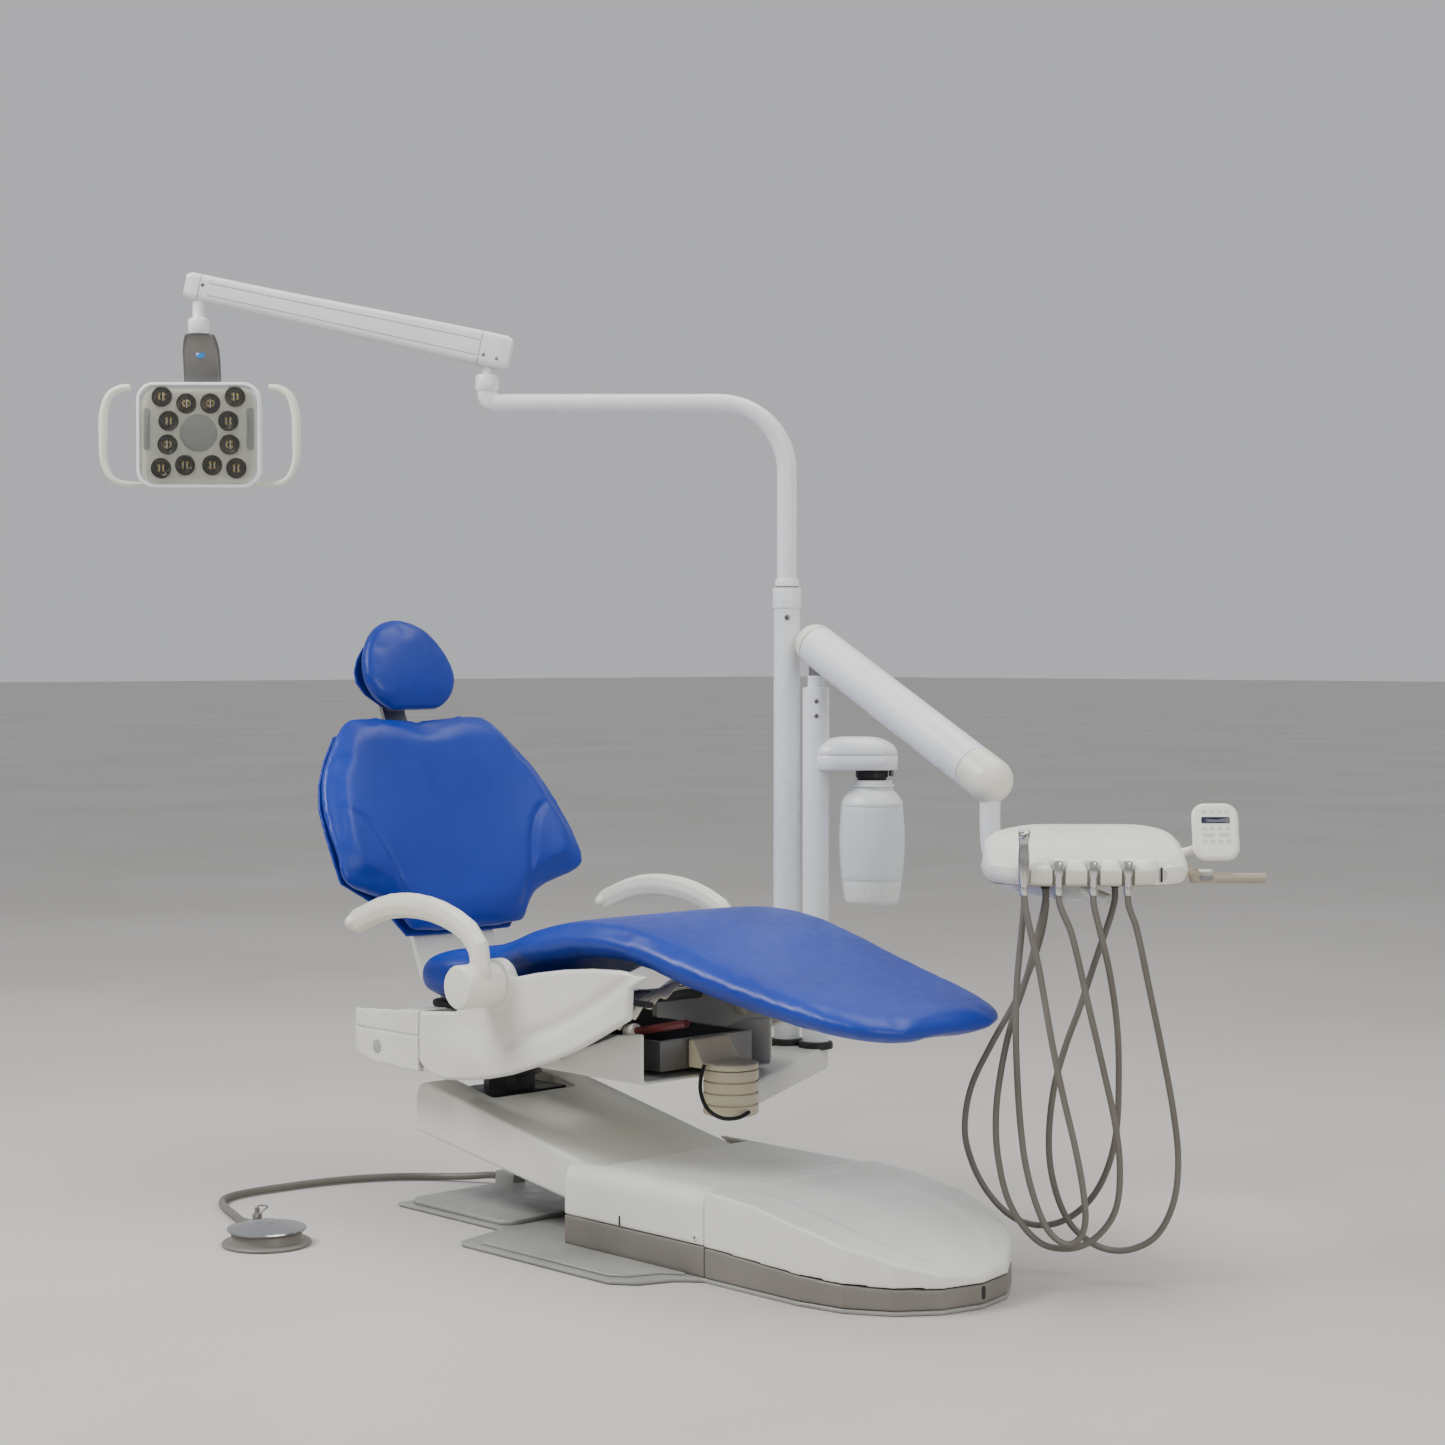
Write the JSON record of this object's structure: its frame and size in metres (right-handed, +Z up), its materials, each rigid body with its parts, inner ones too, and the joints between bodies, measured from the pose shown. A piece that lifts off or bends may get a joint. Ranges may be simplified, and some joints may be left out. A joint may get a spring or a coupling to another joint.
{
  "type": "dental chair",
  "caption": "Dental chair: lifting base, blue seat and reclining back, swinging armrests, post-mounted light and tray arm with instrument hoses and foot control.",
  "frame": {"origin": "on the floor under the middle of the base plate", "axes": "+X towards the patient's feet, +Y to the patient's left, +Z up"},
  "size_m": [1.9588, 1.1955, 1.7879],
  "materials": {
    "cream_plastic": "satin moulded plastic, warm off-white",
    "white_paint": "white powder coat on aluminium tube",
    "white_plastic": "semi-gloss white plastic",
    "grey_plastic": "satin warm grey plastic",
    "grey_paint": "satin grey painted steel plate",
    "steel": "painted and zinc plated steel",
    "black_plastic": "fine grained black plastic",
    "black_rubber": "matt black sleeve",
    "blue_upholstery": "smooth blue upholstery vinyl",
    "beige_paint": "beige painted castings",
    "beige_plastic": "beige grey plastic",
    "chrome": "polished metal",
    "clear_plastic": "translucent plastic",
    "grey_hose": "smooth grey silicone tubing"
  },
  "bodies": {
    "base": {"base_plate": "grey_paint", "middle_skirt": "grey_plastic", "middle_cover": "cream_plastic", "toe_skirt": "grey_plastic", "toe_cover": "cream_plastic", "pump_unit": "steel", "pivot_frame": "steel", "foot_base": "grey_plastic", "foot_hose": "grey_hose"},
    "foot_pedal": {"foot_disc": "chrome"},
    "lift_arm": {"lift_cover": "cream_plastic", "lift_frame": "steel"},
    "lift_link": {"lift_link": "steel"},
    "carriage": {"carriage": "steel"},
    "seat": {"swivel_bearing": "black_plastic", "seat_frame": "steel", "side_cover_right": "cream_plastic", "side_cover_left": "cream_plastic", "rear_cover_lower": "cream_plastic", "rear_cover_upper": "cream_plastic", "under_cover": "cream_plastic", "seat_cushion": "blue_upholstery", "arm_bracket": "beige_paint", "bracket_cable": "black_rubber"},
    "back": {"back_support": "cream_plastic", "back_shell": "black_plastic", "back_cushion": "blue_upholstery"},
    "headrest_slide": {"headrest_bar": "steel"},
    "headrest": {"headrest_shell": "black_plastic", "headrest_cushion": "blue_upholstery"},
    "armrest_right": {"armrest_right": "cream_plastic"},
    "armrest_left": {"armrest_left": "cream_plastic"},
    "post_arm": {"radius_arm": "beige_paint", "light_post": "white_paint", "delivery_post": "white_paint", "bottle_dome": "white_plastic"},
    "water_bottle": {"water_bottle": "clear_plastic"},
    "light_tube": {"light_tube": "white_paint"},
    "beam_neck": {"beam_neck": "steel"},
    "light_beam": {"light_beam": "white_paint"},
    "light_drop": {"light_drop": "white_plastic"},
    "light_yoke": {"light_yoke": "steel"},
    "light_head": {"light_housing": "white_plastic", "light_lens": "clear_plastic", "light_handles": "cream_plastic"},
    "flex_knuckle": {"flex_knuckle": "steel"},
    "flex_arm": {"flex_arm": "white_paint"},
    "flex_neck": {"flex_neck": "white_paint"},
    "control_head": {"control_head": "cream_plastic", "head_handle": "cream_plastic", "syringe": "chrome", "brake_button": "beige_plastic", "connector_2": "black_plastic", "connector_3": "black_plastic", "connector_4": "black_plastic", "hose_1": "grey_hose", "hose_2": "grey_hose", "hose_3": "grey_hose", "hose_4": "grey_hose"},
    "touchpad": {"touchpad": "white_plastic"}
  },
  "joints": [
    {"name": "foot_press", "type": "slide", "parent": "base", "child": "foot_pedal", "axis": [0, 0, -1], "range_m": [0, 0.006], "stiffness_N_per_m": 9000, "springref_m": -0.004},
    {"name": "lift", "type": "hinge", "parent": "base", "child": "lift_arm", "pos_m": [-0.12, 0, 0.096], "axis": [0, 1, 0], "range_deg": [0, 48]},
    {"name": "lift_link_turn", "type": "hinge", "parent": "base", "child": "lift_link", "pos_m": [-0.12, 0, 0.054], "axis": [0, 1, 0], "range_deg": [0, 48]},
    {"name": "carriage_level", "type": "hinge", "parent": "lift_arm", "child": "carriage", "pos_m": [-0.556, 0, 0.179], "axis": [0, 1, 0], "range_deg": [-48, 0]},
    {"name": "seat_swivel", "type": "hinge", "parent": "carriage", "child": "seat", "pos_m": [-0.556, 0, 0.29], "axis": [0, 0, 1], "range_deg": [0, 30]},
    {"name": "recline", "type": "hinge", "parent": "seat", "child": "back", "pos_m": [-0.61, 0, 0.435], "axis": [0, 1, 0], "range_deg": [-50, 7]},
    {"name": "headrest_height", "type": "slide", "parent": "back", "child": "headrest_slide", "axis": [-0.3746, 0, 0.9272], "range_m": [0, 0.12]},
    {"name": "headrest_tilt", "type": "hinge", "parent": "headrest_slide", "child": "headrest", "pos_m": [-0.92835, 0, 0.93732], "axis": [0, 1, 0], "range_deg": [-10, 6]},
    {"name": "armrest_right_turn", "type": "hinge", "parent": "seat", "child": "armrest_right", "pos_m": [-0.275, -0.308, 0.463], "axis": [0, 1, 0], "range_deg": [-80, 0]},
    {"name": "armrest_left_turn", "type": "hinge", "parent": "seat", "child": "armrest_left", "pos_m": [-0.275, 0.308, 0.463], "axis": [0, 1, 0], "range_deg": [-80, 0]},
    {"name": "post_arm_swing", "type": "hinge", "parent": "seat", "child": "post_arm", "pos_m": [0.0625, 0, 0.28], "axis": [0, 0, 1], "range_deg": [0, 4]},
    {"name": "bottle_unscrew", "type": "hinge", "parent": "post_arm", "child": "water_bottle", "pos_m": [-0.05521, 0.48649, 0.7], "axis": [0, 0, 1], "range_deg": [0, 120]},
    {"name": "light_tube_turn", "type": "hinge", "parent": "post_arm", "child": "light_tube", "pos_m": [-0.196, 0.397, 1.181], "axis": [0, 0, 1], "range_deg": [-120, 60]},
    {"name": "light_beam_turn", "type": "hinge", "parent": "light_tube", "child": "beam_neck", "pos_m": [-0.59391, -0.02085, 1.588], "axis": [0, 0, 1], "range_deg": [-140, 140]},
    {"name": "light_lift", "type": "hinge", "parent": "beam_neck", "child": "light_beam", "pos_m": [-0.59391, -0.02085, 1.636], "axis": [-0.7242, 0.6896, 0], "range_deg": [-35, 10]},
    {"name": "light_level", "type": "hinge", "parent": "light_beam", "child": "light_drop", "pos_m": [-0.97527, -0.42131, 1.75657], "axis": [-0.7242, 0.6896, 0], "range_deg": [-10, 35]},
    {"name": "light_yoke_turn", "type": "hinge", "parent": "light_drop", "child": "light_yoke", "pos_m": [-0.97527, -0.42131, 1.667], "axis": [0, 0, 1], "range_deg": [-170, 170]},
    {"name": "light_tilt", "type": "hinge", "parent": "light_yoke", "child": "light_head", "pos_m": [-0.99772, -0.39994, 1.548], "axis": [0.6896, 0.7242, 0], "range_deg": [-14, 10]},
    {"name": "flex_turn", "type": "hinge", "parent": "post_arm", "child": "flex_knuckle", "pos_m": [-0.129, 0.409, 1.01], "axis": [0, 0, 1], "range_deg": [0, 60]},
    {"name": "flex_lift", "type": "hinge", "parent": "flex_knuckle", "child": "flex_arm", "pos_m": [-0.129, 0.409, 1.069], "axis": [-0.2011, -0.9796, 0], "range_deg": [-2, 36]},
    {"name": "flex_level", "type": "hinge", "parent": "flex_arm", "child": "flex_neck", "pos_m": [0.402, 0.3, 0.832], "axis": [-0.2011, -0.9796, 0], "range_deg": [-36, 2]},
    {"name": "head_turn", "type": "hinge", "parent": "flex_neck", "child": "control_head", "pos_m": [0.59276, 0.2819, 0.67], "axis": [0, 0, 1], "range_deg": [0, 15]},
    {"name": "touchpad_tilt", "type": "hinge", "parent": "control_head", "child": "touchpad", "pos_m": [0.74544, 0.43063, 0.729], "axis": [0.6896, 0.7242, 0], "range_deg": [-30, 15]}
  ],
  "couplings": [
    {"joint": "lift_link_turn", "follows": "lift", "ratio": 1},
    {"joint": "carriage_level", "follows": "lift", "ratio": -1},
    {"joint": "light_level", "follows": "light_lift", "ratio": -1},
    {"joint": "flex_level", "follows": "flex_lift", "ratio": -1}
  ]
}
